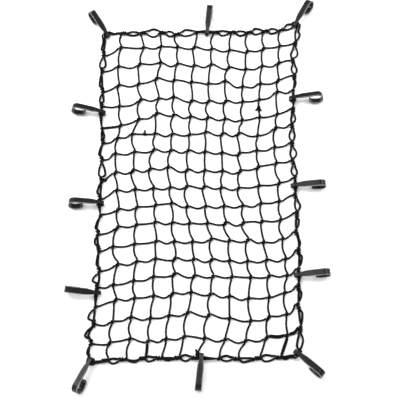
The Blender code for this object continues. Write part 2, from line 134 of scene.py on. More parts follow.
def knot_places():
    """Every knot's place by row and column: straight lines between the stations, but for the strays."""
    stations = np.array([[on_ground(*place) for place in row] for row in KNOT_ROWS])
    columns = np.arange(LAST_COLUMN + 1)
    rows = [[np.interp(columns, STATIONS, row[:, axis]) for axis in (0, 1)] for row in stations]
    knots = np.array(rows).transpose(0, 2, 1)
    for stray in STRAYS:
        knots[stray.row, stray.column] = on_ground(*stray.place)
    return knots


def picture_origin(knots):
    """Where the middle of the picture lies in the model.

    It is the seat in the J of the top edge's hook, less the reach back to the hook's eye, less the
    eye's place between its two knots.
    """
    seat = next(mount["pos_m"] for mount in frame["record"]["mounts"] if mount["name"] == "seat_top_middle")
    heading = math.radians(TOP_HOOK.heading)
    start, end = knots[0, TOP_HOOK.leg], knots[0, TOP_HOOK.leg + 1]
    eye = start * (1 - TOP_HOOK.along) + end * TOP_HOOK.along
    return np.array(seat[:2]) - SEAT_REACH * np.array([math.cos(heading), math.sin(heading)]) - eye


places = knot_places()
PICTURE_ORIGIN = picture_origin(places)
places = places + PICTURE_ORIGIN

# ---------------------------------------------------------------- floor, light and camera
# A seamless white sweep of paper, lit by a broad overhead light, a soft key from the upper left,
# two side boxes and a panel. The camera looks down from the net's near side through a long lens.
SENSOR = 36.0                    # its width in millimetres
PICTURE_WIDTH = 400              # in pixels
FLOOR_RADIUS, FLOOR_SIDES = 60.0, 64
PAPER_WHITE = (0.92, 0.92, 0.92, 1)
SKY_LIGHT, SKY_SEEN = 0.30, 1.0  # how bright the sky is as a light, and as a backdrop


def studio_floor():
    """A flat round sheet of matt white paper, far wider than the view."""
    angles = np.linspace(0, 2 * math.pi, FLOOR_SIDES, endpoint=False)
    rim = FLOOR_RADIUS * np.stack([np.cos(angles), np.sin(angles), 0 * angles], axis=1)
    mesh = bpy.data.meshes.new("floor")
    mesh.from_pydata(rim.tolist(), [], [list(range(FLOOR_SIDES))])
    floor = bpy.data.objects.new("floor", mesh)
    bpy.context.scene.collection.objects.link(floor)
    paper = bpy.data.materials.new("white_paper")
    paper.use_nodes = True
    shader = paper.node_tree.nodes["Principled BSDF"]
    shader.inputs["Base Color"].default_value = PAPER_WHITE
    shader.inputs["Roughness"].default_value = 0.9
    shader.inputs["Specular IOR Level"].default_value = 0.1
    mesh.materials.append(paper)


def lamp(name, kind, place, strength, spread, seen_in_gloss=True):
    """A light at place that faces the net: a square softbox, or a broad sun spread over an angle."""
    light = bpy.data.lights.new(name, kind)
    light.energy = strength
    if kind == "SUN":
        light.angle = math.radians(spread)
    else:
        light.size = spread
    lamp_object = bpy.data.objects.new(name, light)
    lamp_object.location = place
    lamp_object.rotation_euler = (-Vector(place)).to_track_quat("-Z", "Y").to_euler()
    lamp_object.visible_glossy = seen_in_gloss
    bpy.context.scene.collection.objects.link(lamp_object)


def studio_sky():
    """An even white sky: dim where it lights the net, and bright where the camera looks at it."""
    sky = bpy.data.worlds.new("studio")
    sky.use_nodes = True
    tree = sky.node_tree
    background = tree.nodes["Background"]
    background.inputs["Color"].default_value = (1, 1, 1, 1)
    strength = tree.nodes.new("ShaderNodeMath")
    strength.operation = "MULTIPLY_ADD"
    strength.inputs[1].default_value = SKY_SEEN - SKY_LIGHT
    strength.inputs[2].default_value = SKY_LIGHT
    light_path = tree.nodes.new("ShaderNodeLightPath")
    tree.links.new(light_path.outputs["Is Camera Ray"], strength.inputs[0])
    tree.links.new(strength.outputs[0], background.inputs["Strength"])
    bpy.context.scene.world = sky


studio_floor()
lamp("overhead", "SUN", (0.0, 0.3, 3.0), 2.3, 125.0, seen_in_gloss=False)
lamp("key", "SUN", (-1.2, 1.4, 2.6), 0.40, 20.0, seen_in_gloss=False)
lamp("left_box", "AREA", (-1.75, 0.75, 1.9), 22.0, 0.8)
lamp("right_box", "AREA", (1.75, 0.75, 1.9), 20.0, 0.8)
lamp("panel", "AREA", (-1.05, 0.86, 2.25), 22.0, 1.1)
studio_sky()
bpy.context.scene.view_settings.view_transform = "Standard"

camera = bpy.data.objects.new("camera", bpy.data.cameras.new("camera"))
camera.data.sensor_width = SENSOR
camera.data.lens = SENSOR * SIGHT_LENGTH / (PICTURE_WIDTH * PIXEL)
back = Vector((0, -math.cos(SIGHT_TILT), math.sin(SIGHT_TILT))) * SIGHT_LENGTH
camera.location = Vector((*PICTURE_ORIGIN, 0)) + back
camera.rotation_euler = (math.pi / 2 - SIGHT_TILT, 0, 0)
bpy.context.scene.collection.objects.link(camera)
bpy.context.scene.camera = camera

# ---------------------------------------------------------------- the knotted net
# Seventeen cords cross ten uprights, all of elastic cord in a woven black sheath. Each upright
# takes a turn and a half round each cross cord, and every end is hitched to the net's own edge.
CORD = 5.7 * MM
KNOT_CORD = 4.8 * MM             # pulled tight in a knot, the cord is thinner
SIDES = 10                       # faces round a cord
HITCH_RADIUS = 3.6 * MM          # from the middle of the held cord to the middle of the turn round it
HITCH_HEIGHT = 6.15 * MM         # height of the held cord in its knot
HITCH_PITCH = 4.5 * MM           # how far a turn moves along the held cord
SIDE_HITCH_SHIFT = -HITCH_PITCH * 1.3    # how far all turns move in a hitch at a side of the net,
END_HITCH_SHIFT = HITCH_PITCH * 1.4      # at its top or bottom and in a join,
KNOT_SHIFT = HITCH_PITCH * 1.45          # in an inner knot,
BORDER_SHIFT = -HITCH_PITCH * 1.9        # and in a hitch of the border cord
SIDE_HITCH_PARTS, KNOT_PARTS, END_HITCH_PARTS = 12, 13, 14     # how many straight parts they have
HELD_CORD = KNOT_CORD * 0.9      # the cord that a knot's turns hold is thinner still
HELD_POINTS = np.array([-4.6, -2.2, 0.0, 2.2, 4.6])[:, None]  # along it, in millimetres
EDGE_CORD, SECOND_CORD = CORD * 1.04, CORD * 0.96    # in the net's own edge, and a cut or doubled end
LEG_CLEAR = 8.5 * MM             # from a knot's middle to where its legs are clear of it
LEG_SHARES = np.array([0.0, 0.2, 0.5, 0.8, 1.0])[:, None]      # where a cross leg's points lie
UPRIGHT_SHARES = np.array([0.0, 0.22, 0.5, 0.78, 1.0])[:, None]
LEG_LIFT = np.array([0.9, 0.2, 0.0, 0.2, 0.9]) * MM            # and how far it is off the ground there
UPRIGHT_LIFT = np.array([0.8, 0.15, 0.0, 0.15, 0.8]) * MM
LEG_FOLLOWS = (0.65, 0.5)        # how much of a knot's turn a cross leg follows, going out and coming in
UPRIGHT_FOLLOWS = (0.7, 0.4)
SAG, USUAL_SAG = (-3.0 * MM, 8.0 * MM), 5.5 * MM     # of a cross leg below the straight line
SAG_LATE = 1.35                  # over 1, so that it hangs lowest past the middle
HEAVY_SAGS = (4 * MM, 6 * MM)    # of the two doubled legs in the last row but one
BOW, USUAL_BOW = (-7.0 * MM, 3.0 * MM), -2.5 * MM    # of an upright leg to the right of the straight line
KNOT_TURN, KNOT_TURN_RANGE = 20, (-22, 20)           # in degrees anticlockwise

# One entry for each edge leg: where on the leg its two cords bow furthest, and how far the outer
# and the inner one lie outside the straight line between the leg's knots, in millimetres.
BOWS = {
    "top": [
        (0.70, 4, 2), (0.55, 6, -7), (0.60, 13, -13), (0.55, 9, -8), (0.45, 14, -7), (0.30, 10, -2),
        (0.45, 7, -9), (0.50, 6, -10), (0.40, 13, -7), (0.40, 9, -8), (0.45, 13, -5),
    ],
    "right": [
        (0.50, 12, -2), (0.65, 12, -8), (0.60, 9, -7), (0.45, 6, 2), (0.72, 9, -5), (0.65, 9, -4),
        (0.62, 8, -8), (0.58, 12, -6), (0.65, 8, -8), (0.75, 7, 1), (0.60, 11, -4), (0.45, 7, -2),
        (0.60, 7, 3), (0.40, 10, 2), (0.72, 7, 1), (0.40, 9, 1), (0.35, 9, 0), (0.52, 11, -4),
    ],
    "bottom": [
        (0.45, 3, -1), (0.35, 9, -4), (0.50, 8, 4), (0.25, 8, -5), (0.35, 6, -1), (0.35, 8, -8),
        (0.60, 6, 0), (0.40, 6, -8), (0.25, 9, -2), (0.32, 9, -8), (0.35, 7, 0),
    ],
    "left": [
        (0.72, 9, 1), (0.58, 9, -9), (0.70, 8, 0), (0.68, 7, -5), (0.68, 9, -2), (0.60, 3, -5),
        (0.72, 9, 5), (0.78, 8, -11), (0.60, 9, -1), (0.80, 11, 3), (0.75, 9, 5), (0.45, 10, 1),
        (0.75, 7, 3), (0.66, 15, -3), (0.72, 10, 5), (0.68, 17, 1), (0.52, 19, 9), (0.70, 10, 6),
    ],
}

BOW_CLEAR, BOW_LATEST = 0.14, 0.86       # shares of a leg that a bow keeps from its two knots
BOW_AMOUNTS = np.array([0.62, 1.0, 0.72])            # of the bow: before it, at it and past it
BOW_LIFT = np.array([0.4, 0.0, 0.4]) * MM
EDGE_LIFT, EDGE_LOOSE = 0.2, 0.6         # in millimetres off the ground: the least, and up to this more

EYE_OUTER = 8.8 * MM             # radius of a hook's eye
EYE_WIDTH, STRAP_WIDTH = 10.5 * MM, 18.5 * MM
EYE_GRIP, CORNER_GRIP = 8.0 * MM, 12.0 * MM          # from an eye's middle to where its cords are free
SIDE_BY_SIDE = 2.8 * MM          # half the distance between the two cords in an eye
BESIDE_KNOT = 9.5 * MM           # how far past an edge knot the border cord is hitched to the edge
BORDER_CORD = 6.7 * MM
BORDER_HITCH = 4.4 * MM          # the radius of the border cord's own hitch
BORDER_HITCH_CORD = KNOT_CORD * 1.1
PAST_HITCH, PAST_CORNER = BESIDE_KNOT + 4.5 * MM, CORNER_GRIP + 4 * MM       # where a leg's bow may start
IN_KNOT = [-3.4, 0.0, 3.4]       # places along the net's own edge in a knot, in millimetres,
UNDER_HITCH = [BESIDE_KNOT / MM, BESIDE_KNOT / MM + 3]       # and where the border cord is hitched to it
OVER_HITCHED, OVER_BARE = 0.6 * MM, 3.0 * MM         # how far the border cord is over an edge knot's turns


def smooth_run(points, steps, closed=False):
    """A Catmull-Rom curve through the points, with steps[i] equal parts between points i and i + 1."""
    points = np.asarray(points, dtype=float)
    count = len(points)
    steps = np.asarray(steps, dtype=int)
    leg = np.repeat(np.arange(len(steps)), steps)
    start = np.repeat(np.cumsum(steps) - steps, steps)
    share = ((np.arange(len(leg)) - start) / steps[leg])[:, None]
    if closed:
        before, after, beyond = (leg - 1) % count, (leg + 1) % count, (leg + 2) % count
    else:
        before, after, beyond = np.maximum(leg - 1, 0), leg + 1, np.minimum(leg + 2, count - 1)
    p0, p1, p2, p3 = points[before], points[leg], points[after], points[beyond]
    run = 0.5 * (2 * p1 + (p2 - p0) * share + (2 * p0 - 5 * p1 + 4 * p2 - p3) * share**2
                 + (3 * p1 - p0 - 3 * p2 + p3) * share**3)
    return run if closed else np.vstack([run, points[-1]])


def cord_tube(run, radius, across, closed=False):
    """A round cord along run: circles square to the run, the first point of each one square to across.

    Returns the tube's points, faces, and each face corner's place on the sheath: the turn round
    the cord, and the length along it in cord girths.
    """
    count = len(run)
    if closed:
        tangent = np.roll(run, -1, axis=0) - np.roll(run, 1, axis=0)
    else:
        tangent = np.gradient(run, axis=0)
    tangent /= np.linalg.norm(tangent, axis=1, keepdims=True)
    side = np.cross(tangent, np.asarray(across, dtype=float))
    side /= np.linalg.norm(side, axis=1, keepdims=True)
    up = np.cross(side, tangent)
    angle = np.arange(SIDES) * 2 * math.pi / SIDES
    ring = side[:, None] * np.cos(angle)[None, :, None] + up[:, None] * np.sin(angle)[None, :, None]
    radius = np.broadcast_to(radius, count)
    points = (run[:, None] + ring * radius[:, None, None]).reshape(-1, 3)
    ends = count if closed else count - 1
    first, turn = np.meshgrid(np.arange(ends), np.arange(SIDES), indexing="ij")
    following, beside = (first + 1) % count, (turn + 1) % SIDES
    faces = np.stack([first * SIDES + turn, first * SIDES + beside,
                      following * SIDES + beside, following * SIDES + turn], axis=-1).reshape(-1, 4)
    parts = np.linalg.norm(np.diff(run, axis=0, append=run[:1]), axis=1)
    length = np.concatenate([[0], np.cumsum(parts)])
    length /= math.pi * CORD
    u = np.stack([turn, turn + 1, turn + 1, turn], axis=-1) / SIDES
    v = np.stack([length[first], length[first], length[first + 1], length[first + 1]], axis=-1)
    on_sheath = np.stack([u, v], axis=-1).reshape(-1, 2)
    faces = [tuple(face) for face in faces.tolist()]
    if not closed:
        last = (count - 1) * SIDES
        faces += [tuple(range(SIDES - 1, -1, -1)), tuple(range(last, last + SIDES))]
        cap = np.stack([0.5 + 0.1 * np.cos(angle), 0.1 * np.sin(angle)], axis=1)
        on_sheath = np.vstack([on_sheath, cap[::-1], cap])
    return points, faces, on_sheath


def cord_object(name, tubes, material):
    """One mesh object of several tubes, smooth, with their places on the sheath as its UV map."""
    points, faces, on_sheath, start = [], [], [], 0
    for tube_points, tube_faces, tube_on_sheath in tubes:
        points.append(tube_points)
        faces += [tuple(corner + start for corner in face) for face in tube_faces]
        on_sheath.append(tube_on_sheath)
        start += len(tube_points)
    mesh = bpy.data.meshes.new(name)
    mesh.from_pydata(np.vstack(points).tolist(), [], faces)
    sheath = mesh.uv_layers.new(name="sheath")
    sheath.uv.foreach_set("vector", np.vstack(on_sheath).ravel())
    mesh.shade_smooth()
    mesh.materials.append(material)
    piece = bpy.data.objects.new(name, mesh)
    bpy.context.scene.collection.objects.link(piece)
    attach(piece, "root")
    return piece


def eye_frame(hook, place):
    """A hook's frame: x along the strap, y away from the ground, z along the eye's axis."""
    heading = math.radians(hook.heading)
    along = Vector((math.cos(heading), math.sin(heading), 0))
    turn = Matrix((along, Vector((0, 0, 1)), along.cross(Vector((0, 0, 1))))).transposed()
    eye = (turn @ Matrix.Rotation(math.radians(hook.roll), 3, "X")).to_4x4()
    tilt = math.radians(abs(hook.roll))
    above_ground = EYE_OUTER * math.cos(tilt) + STRAP_WIDTH / 2 * math.sin(tilt)
    eye.translation = Vector((place[0], place[1], above_ground))
    return eye


def turns_round(middle, held, start, end, shift, steps, radius=HITCH_RADIUS):
    """A helix round a cord at middle that runs along held: from the angle start to end, in degrees.

    Zero degrees is to the left of held, seen from above, and ninety is over it. The helix moves
    back along held by shift on its way.
    """
    held = np.array(held, dtype=float)
    beside = np.array([-held[1], held[0], 0.0])
    angle = np.radians(np.linspace(start, end, steps + 1))[:, None]
    slide = np.linspace(0.5, -0.5, steps + 1)[:, None] * shift
    return (np.asarray(middle) + beside * np.cos(angle) * radius
            + np.array([0, 0, 1.0]) * np.sin(angle) * radius + held * slide)


class Strand:
    """A cord's points in order, with the number of parts and the radius from each to the next."""

    def __init__(self):
        self.points, self.steps, self.radii = [], [], []

    def add(self, points, steps, diameter):
        """Carry the cord on through the points, this thick, with steps parts after each of them."""
        self.points += [tuple(point) for point in points]
        self.steps += [steps] * len(points)
        self.radii += [diameter / 2] * len(points)

    def tube(self, across, closed=False):
        """The finished tube; its thickness changes evenly from point to point."""
        steps = self.steps if closed else self.steps[:-1]
        run = smooth_run(self.points, steps, closed)
        at = np.concatenate([[0], np.cumsum(steps)])
        radii = self.radii + self.radii[:1] if closed else self.radii
        radius = np.interp(np.arange(len(run)), at, radii)
        return cord_tube(run, radius, across, closed)


rng = Random(12)
looseness = {(side, leg): rng.uniform(0, 1.0) for side, bows in BOWS.items() for leg in range(len(bows))}
sags = [[rng.triangular(*SAG, USUAL_SAG) for _ in range(LAST_COLUMN)] for _ in range(LAST_ROW)]
sags[LAST_ROW - 1][-2:] = HEAVY_SAGS
leg_bows = [[rng.triangular(*BOW, USUAL_BOW) for _ in range(LAST_COLUMN)] for _ in range(LAST_ROW)]
knot_turns = [[rng.uniform(*KNOT_TURN_RANGE) for _ in range(LAST_COLUMN + 1)] for _ in range(LAST_ROW + 1)]


def knot_slope(row, column):
    """How far a knot has turned anticlockwise as it was pulled tight, in radians."""
    return math.radians(KNOT_TURN + knot_turns[row][column])


def held_direction(row, column):
    """The way a cross cord runs through its knot: along its row, turned a little from knot to knot."""
    before, after = places[row, max(column - 1, 0)], places[row, min(column + 1, LAST_COLUMN)]
    slope = math.atan2(*(after - before)[::-1]) + knot_slope(row, column)
    return math.cos(slope), math.sin(slope), 0.0


def cross_leg(row, column):
    """Five points from one knot of a cross cord to the next: out at the upper right, in at the lower left.

    Between them it hangs below the straight line, lowest past the middle: sag * 4 t (1 - t), with
    t the share of the way raised to a power above one.
    """
    start, end = places[row, column], places[row, column + 1]
    follows_out, follows_in = LEG_FOLLOWS
    rise_out = LEG_CLEAR * follows_out * math.tan(knot_slope(row, column))
    rise_in = LEG_CLEAR * follows_in * math.tan(knot_slope(row, column + 1))
    begin = np.array([start[0] + LEG_CLEAR, start[1] + rise_out])
    finish = np.array([end[0] - LEG_CLEAR, end[1] - rise_in])
    flat = begin + (finish - begin) * LEG_SHARES
    late = LEG_SHARES[:, 0] ** SAG_LATE
    flat[:, 1] -= 4 * late * (1 - late) * sags[row][column]
    return np.column_stack([flat, CORD / 2 + LEG_LIFT])


def upright_leg(row, column):
    """Five points from one knot of an upright to the next: out at the lower left, in at the upper right."""
    start, end = places[row, column], places[row + 1, column]
    follows_out, follows_in = UPRIGHT_FOLLOWS
    shift_out = LEG_CLEAR * follows_out * math.tan(knot_slope(row, column))
    shift_in = LEG_CLEAR * follows_in * math.tan(knot_slope(row + 1, column))
    begin = np.array([start[0] - shift_out, start[1] - LEG_CLEAR])
    finish = np.array([end[0] + shift_in, end[1] + LEG_CLEAR])
    flat = begin + (finish - begin) * UPRIGHT_SHARES
    flat[:, 0] += (4 * UPRIGHT_SHARES * (1 - UPRIGHT_SHARES))[:, 0] * leg_bows[row][column]
    return np.column_stack([flat, CORD / 2 + UPRIGHT_LIFT])


def cross_cord(row):
    """A cord across the net, hitched to the left edge, through ten knots, hitched to the right."""
    strand = Strand()
    left, right = ((*places[row, column], HITCH_HEIGHT) for column in (0, LAST_COLUMN))
    hitch = turns_round(left, (0, 1, 0), 560, 90, SIDE_HITCH_SHIFT, SIDE_HITCH_PARTS)
    strand.add(hitch, 1, KNOT_CORD)
    for column in range(LAST_COLUMN):
        if column:
            way = np.array(held_direction(row, column))
            middle = np.array((*places[row, column], HITCH_HEIGHT))
            strand.add(middle + way * HELD_POINTS * MM, 1, HELD_CORD)
        strand.add(cross_leg(row, column), 2, CORD)
    hitch = turns_round(right, (0, 1, 0), 90, -380, SIDE_HITCH_SHIFT, SIDE_HITCH_PARTS)
    strand.add(hitch, 1, KNOT_CORD)
    return strand.tube((0, 1, 0))


def upright_cord(column):
    """A cord down the net, hitched to the top edge, round every cross cord, hitched to the bottom."""
    strand = Strand()
    top, bottom = ((*places[row, column], HITCH_HEIGHT) for row in (0, LAST_ROW))
    hitch = turns_round(top, (1, 0, 0), -380, 180, END_HITCH_SHIFT, END_HITCH_PARTS)
    strand.add(hitch, 1, KNOT_CORD)
    for row in range(LAST_ROW):
        if row:
            middle = (*places[row, column], HITCH_HEIGHT)
            way = held_direction(row, column)
            strand.add(turns_round(middle, way, 10, 530, KNOT_SHIFT, KNOT_PARTS), 1, KNOT_CORD)
        strand.add(upright_leg(row, column), 2, CORD)
    hitch = turns_round(bottom, (1, 0, 0), 10, 560, END_HITCH_SHIFT, END_HITCH_PARTS)
    strand.add(hitch, 1, KNOT_CORD)
    return strand.tube((1, 0, 0))


# Four joins lie between the knots, each a lump of turns with its cut ends left on. Beside five legs
# a second length of cord runs from knot to knot. A leg's share of the way says where its join is.
Join = namedtuple("Join", "leg share tails")
JOINS = [
    Join(cross_leg(6, 2), 0.55, (88,)),
    Join(upright_leg(4, 9), 0.42, (226, 308)),
    Join(upright_leg(17, 6), 0.93, (112,)),
    Join(cross_leg(8, 0), 0.06, (155,)),
]
DOUBLED = [
    (cross_leg(17, 9), (0, 0.85)), (cross_leg(17, 10), (0, 0.9)), (upright_leg(17, 10), (0.7, 0)),
    (upright_leg(17, 3), (0.55, 0)), (cross_leg(5, 0), (0, 0.4)),
]
TAIL = 13.0 * MM                 # length of a cut end
TAIL_SHARES = np.array([0.0, 0.35, 0.7, 1.0])[:, None]       # where its points lie
TAIL_HEIGHT = np.array([6.0, 4.8, 3.3, 3.0]) * MM            # and how high
LEG_PARTS = 4                    # between the five points of a leg
BESIDE_LEG = np.array([0.6, 0.95, 1.0, 0.95, 0.6])[:, None]  # a second cord's distance, in cords
INTO_KNOT = 0.35                 # how far on it runs, in steps between a leg's points


def join_tubes(join):
    """A lump of one and a half turns round the cord, and each cut end lying out of it on the ground."""
    at = join.share * LEG_PARTS
    low = int(at)
    middle = join.leg[low] * (1 - at + low) + join.leg[low + 1] * (at - low)
    way = join.leg[low + 1] - join.leg[low]
    way = np.array((way[0], way[1], 0.0)) / np.hypot(way[0], way[1])
    lump = Strand()
    turns = turns_round((*middle[:2], HITCH_HEIGHT), way, 190, 710, END_HITCH_SHIFT, KNOT_PARTS)
    lump.add(turns, 1, KNOT_CORD)
    tubes = [lump.tube(way)]
    for angle in np.radians(join.tails):
        out = np.array([math.cos(angle), math.sin(angle)])
        flat = middle[:2] + out * (TAIL_SHARES * TAIL)
        tail = Strand()
        tail.add(np.column_stack([flat, TAIL_HEIGHT]), 2, SECOND_CORD)
        tubes.append(tail.tube((0, 0, 1)))
    return tubes


def doubled_tube(leg, aside):
    """A second cord beside a leg, from inside one knot to inside the next."""
    second = Strand()
    offset = BESIDE_LEG * np.array((*aside, 0.0)) * CORD
    first = leg[0] * (1 + INTO_KNOT) - leg[1] * INTO_KNOT
    last = leg[-1] * (1 + INTO_KNOT) - leg[-2] * INTO_KNOT
    second.add(np.vstack([first, leg + offset, last]), 2, SECOND_CORD)
    return second.tube((*aside, 0.0))


# Each side's knots from the left or the top, and once more clockwise with the way outwards.
KNOTS = {"top": places[0], "right": places[:, -1], "bottom": places[-1], "left": places[:, 0]}
CLOCKWISE = {
    "top": (KNOTS["top"], (0, 1)),
    "right": (KNOTS["right"], (1, 0)),
    "bottom": (KNOTS["bottom"][::-1], (0, -1)),
    "left": (KNOTS["left"][::-1], (-1, 0)),
}
CORNER_KNOTS = [places[0, 0], places[0, -1], places[-1, -1], places[-1, 0]]
EYES = {}
for hook in HOOKS:
    if hook.side == "corner":
        eye_place = CORNER_KNOTS[hook.leg]
    else:
        start, end = KNOTS[hook.side][hook.leg:hook.leg + 2]
        eye_place = start * (1 - hook.along) + end * hook.along
    EYES[hook.name] = eye_frame(hook, eye_place)


def through_eye(name, beside, grip, towards):
    """The points of a cord that runs straight through a hook's eye, the last one nearest to towards."""
    points = [EYES[name] @ Vector((beside, 0, share * grip)) for share in (-1.0, -0.35, 0.35, 1.0)]
    goal = Vector((*towards, 0))
    if (points[0] - goal).length < (points[-1] - goal).length:
        points.reverse()
    return points


def edge_strand(is_border):
    """One of the two cords round the edge, clockwise from the top left corner.

    The net's own cord passes through the knots. The border cord crosses them above it, merged with
    their turns. The two change sides at every knot, so that each leg is an open loop.
    """
    strand = Strand()
    thickness = BORDER_CORD if is_border else EDGE_CORD
    corner_grip = CORNER_GRIP if is_border else EYE_GRIP
    beside = SIDE_BY_SIDE if is_border else -SIDE_BY_SIDE
    held = {(hook.side, hook.leg): hook for hook in HOOKS}
    for corner, (side, (knots, outward)) in enumerate(CLOCKWISE.items()):
        outward = np.array(outward, dtype=float)
        backwards = side in ("bottom", "left")
        last = len(knots) - 2
        strand.add(through_eye(held["corner", corner].name, beside, corner_grip, knots[1]), 1, CORD)
        for step in range(last + 1):
            leg = last - step if backwards else step
            start, end = knots[step], knots[step + 1]
            at, outer, inner = BOWS[side][leg]
            at = 1 - at if backwards else at
            takes_outer = (leg % 2 == 0) == is_border
            bow = (outer if takes_outer else inner) * MM
            ground = thickness / 2 + (EDGE_LIFT + looseness[side, leg] * EDGE_LOOSE) * MM
            way = np.array((*(end - start) / np.linalg.norm(end - start), 0.0))
            is_hitched = step > 0 and (side, leg) not in held
            if step and is_border:
                over = HITCH_HEIGHT + HITCH_RADIUS + (OVER_HITCHED if is_hitched else OVER_BARE)
                strand.add([(*start, over)], 3, KNOT_CORD)
            elif step:
                along = np.array(IN_KNOT + UNDER_HITCH * is_hitched)
                strand.add(np.array((*start, HITCH_HEIGHT)) + way * along[:, None] * MM, 2, HELD_CORD)
            if is_hitched and is_border:
                middle = np.array((*start, BORDER_HITCH + KNOT_CORD * 0.6)) + way * BESIDE_KNOT
                turns = (165, -345) if takes_outer else (15, 525)
                hitch = turns_round(middle, way, *turns, BORDER_SHIFT, KNOT_PARTS, BORDER_HITCH)
                strand.add(hitch, 1, BORDER_HITCH_CORD)
            if (side, leg) in held:
                hook = held[side, leg]
                strand.add(through_eye(hook.name, beside, EYE_GRIP, end), 2, CORD)
                continue
            clear = (PAST_HITCH if step else PAST_CORNER) / np.linalg.norm(end - start)
            at = min(max(at, clear + BOW_CLEAR), BOW_LATEST)
            shares = np.array([clear + 0.4 * (at - clear), at, at + 0.5 * (1 - at)])
            flat = start + (end - start) * shares[:, None] + outward * (BOW_AMOUNTS * bow)[:, None]
            strand.add(np.column_stack([flat, ground + BOW_LIFT]), 3, thickness)
    return strand.tube((0, 0, 1), closed=True)


class Wire:
    """A value in a material's nodes. Arithmetic on it adds Math nodes; node() adds any other."""

    def __init__(self, tree, socket=None):
        self.tree, self.socket = tree, socket

    def node(self, kind, settings=None, sockets=None, output=0):
        """A node of this kind: its settings first, then its sockets by name or number."""
        node = self.tree.nodes.new(kind)
        for name, value in (settings or {}).items():
            setattr(node, name, value)
        for name, value in (sockets or {}).items():
            if isinstance(value, Wire):
                self.tree.links.new(value.socket, node.inputs[name])
            else:
                node.inputs[name].default_value = value
        return Wire(self.tree, node.outputs[output])

    def math(self, operation, *values):
        return self.node("ShaderNodeMath", {"operation": operation}, dict(enumerate(values)))

    def __add__(self, other):
        return self.math("ADD", self, other)

    def __mul__(self, other):
        return self.math("MULTIPLY", self, other)

    def __sub__(self, other):
        return self.math("SUBTRACT", self, other)

    __radd__ = __add__

    def sine(self):
        return self.math("SINE", self)

    def between(self, low, high):
        """0 below low, 1 above high, and a smooth step from one to the other."""
        return self.node("ShaderNodeMapRange", {"interpolation_type": "SMOOTHSTEP"},
                         {"Value": self, "From Min": low, "From Max": high})


def new_finish(name, roughness, **fixed):
    """A Principled material: its wire for adding nodes, and the function that feeds its shader."""
    material = bpy.data.materials.new(name)
    material.use_nodes = True
    shader = material.node_tree.nodes["Principled BSDF"]
    shader.inputs["Roughness"].default_value = roughness
    for socket, value in fixed.items():
        shader.inputs[socket.replace("_", " ")].default_value = value

    def feed(socket, wire):
        material.node_tree.links.new(wire.socket, shader.inputs[socket])

    return material, Wire(material.node_tree), feed


def mixed(wire, share, first, second):
    """A colour between two, by share."""
    return wire.node("ShaderNodeMix", {"data_type": "RGBA"},
                     {"Factor": share, 6: (*first, 1.0), 7: (*second, 1.0)}, output=2)


def woven_sheath():
    """Black sheath woven of flat yarns: two families of yarns cross round the cord.

    The height is the product of two sines, one along each family, with the yarns' own fine lines
    on it, so that a diamond stands up wherever one yarn crosses over another.
    """
    material, wire, feed = new_finish("black_sheath", 0.7, Specular_IOR_Level=0.13)
    on_sheath = wire.node("ShaderNodeUVMap", {"uv_map": "sheath"})
    turn = wire.node("ShaderNodeSeparateXYZ", None, {0: on_sheath})
    along = Wire(turn.tree, turn.socket.node.outputs[1])
    yarns, lay = 8, 6.5              # round the cord, and along as much of its length
    left_lay = (turn * yarns + along * lay) * (2 * math.pi)
    right_lay = (turn * yarns - along * lay) * (2 * math.pi)
    diamonds = left_lay.sine() * right_lay.sine()
    strands = 5                      # fine lines in a yarn
    fine = ((turn * (yarns * strands) + along * (lay * strands)) * (2 * math.pi)).sine()
    spot = wire.node("ShaderNodeTexCoord", output=3)
    fuzz = wire.node("ShaderNodeTexNoise", None, {"Vector": spot, "Scale": 900.0, "Detail": 2.0})
    patches = wire.node("ShaderNodeTexNoise", None, {"Vector": spot, "Scale": 24.0, "Detail": 3.0})
    height = diamonds * 0.5 + fine * 0.12 + fuzz * 0.3
    # Painted highlight: the colour is lighter where the yarns cross over and along their fine lines,
    # standing in for light on the weave's relief; the patches and fuzz are the sheath's own uneven tone.
    tone_and_painted_highlight = (diamonds * 0.45 + fine * 0.1 + patches * 0.5 + fuzz * 0.25).between(0.1, 1.0)
    feed("Base Color", mixed(wire, tone_and_painted_highlight, (0.0010, 0.0010, 0.0012), (0.0125, 0.0125, 0.0130)))
    feed("Roughness", 0.5 + patches * 0.22 + diamonds * 0.08)
    feed("Normal", wire.node("ShaderNodeBump", None,
                             {"Height": height, "Strength": 0.9, "Distance": 0.4 * MM}))
    return material


black_sheath = woven_sheath()
net_tubes = [cross_cord(row) for row in range(1, LAST_ROW)]
net_tubes += [upright_cord(column) for column in range(1, LAST_COLUMN)]
net_tubes.append(edge_strand(is_border=False))
for join in JOINS:
    net_tubes += join_tubes(join)
net_tubes += [doubled_tube(*doubled) for doubled in DOUBLED]
net = cord_object("net_cords", net_tubes, black_sheath)
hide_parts("net")

# ---------------------------------------------------------------- the border cord
# A second cord of the same make, laced once round the whole edge into a closed loop. It crosses
# every edge knot, sunk into the knot's turns, and passes through the eyes of all twelve hooks.
border = cord_object("laced_border", [edge_strand(is_border=True)], black_sheath)
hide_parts("border_cord")

# ---------------------------------------------------------------- the hooks
# Flat strap hooks injection-moulded in dark grey nylon: a closed eye round both edge cords, a
# strap with fine lengthwise ribs and a raised rim down each side, and an open J at the far end.
STRAP_THICK, EYE_THICK = 3.2 * MM, 2.8 * MM
EYE_SLOT = 5.0 * MM              # between the middles of the eye's two bends
HOOK_LENGTH, HOOK_DEPTH = 100.0 * MM, 34.0 * MM
J_RETURN, J_CURL = 27.0 * MM, 14.0 * MM  # where the return curls up, and the curl's outer radius
CURL_TURN = math.radians(52)
WIDE_FROM = 27.0 * MM            # where the strap has its full width
EYE_END = math.radians(96)       # how far round the eye closes on the strap
CORNER = 0.7 * MM                # the strap's rounded corners
TIP_ROUND = 4.5 * MM             # how far the tip of the J is rounded off, seen from above
EYE_END_IN = 0.5 * MM            # how much narrower the eye's end is
RIM, RIB = 0.40 * MM, 0.12 * MM  # heights of a rim and of a rib
RIM_FROM, RIM_SLOPE = 0.80, 0.08         # where a rim starts to rise, and over how far, in half widths
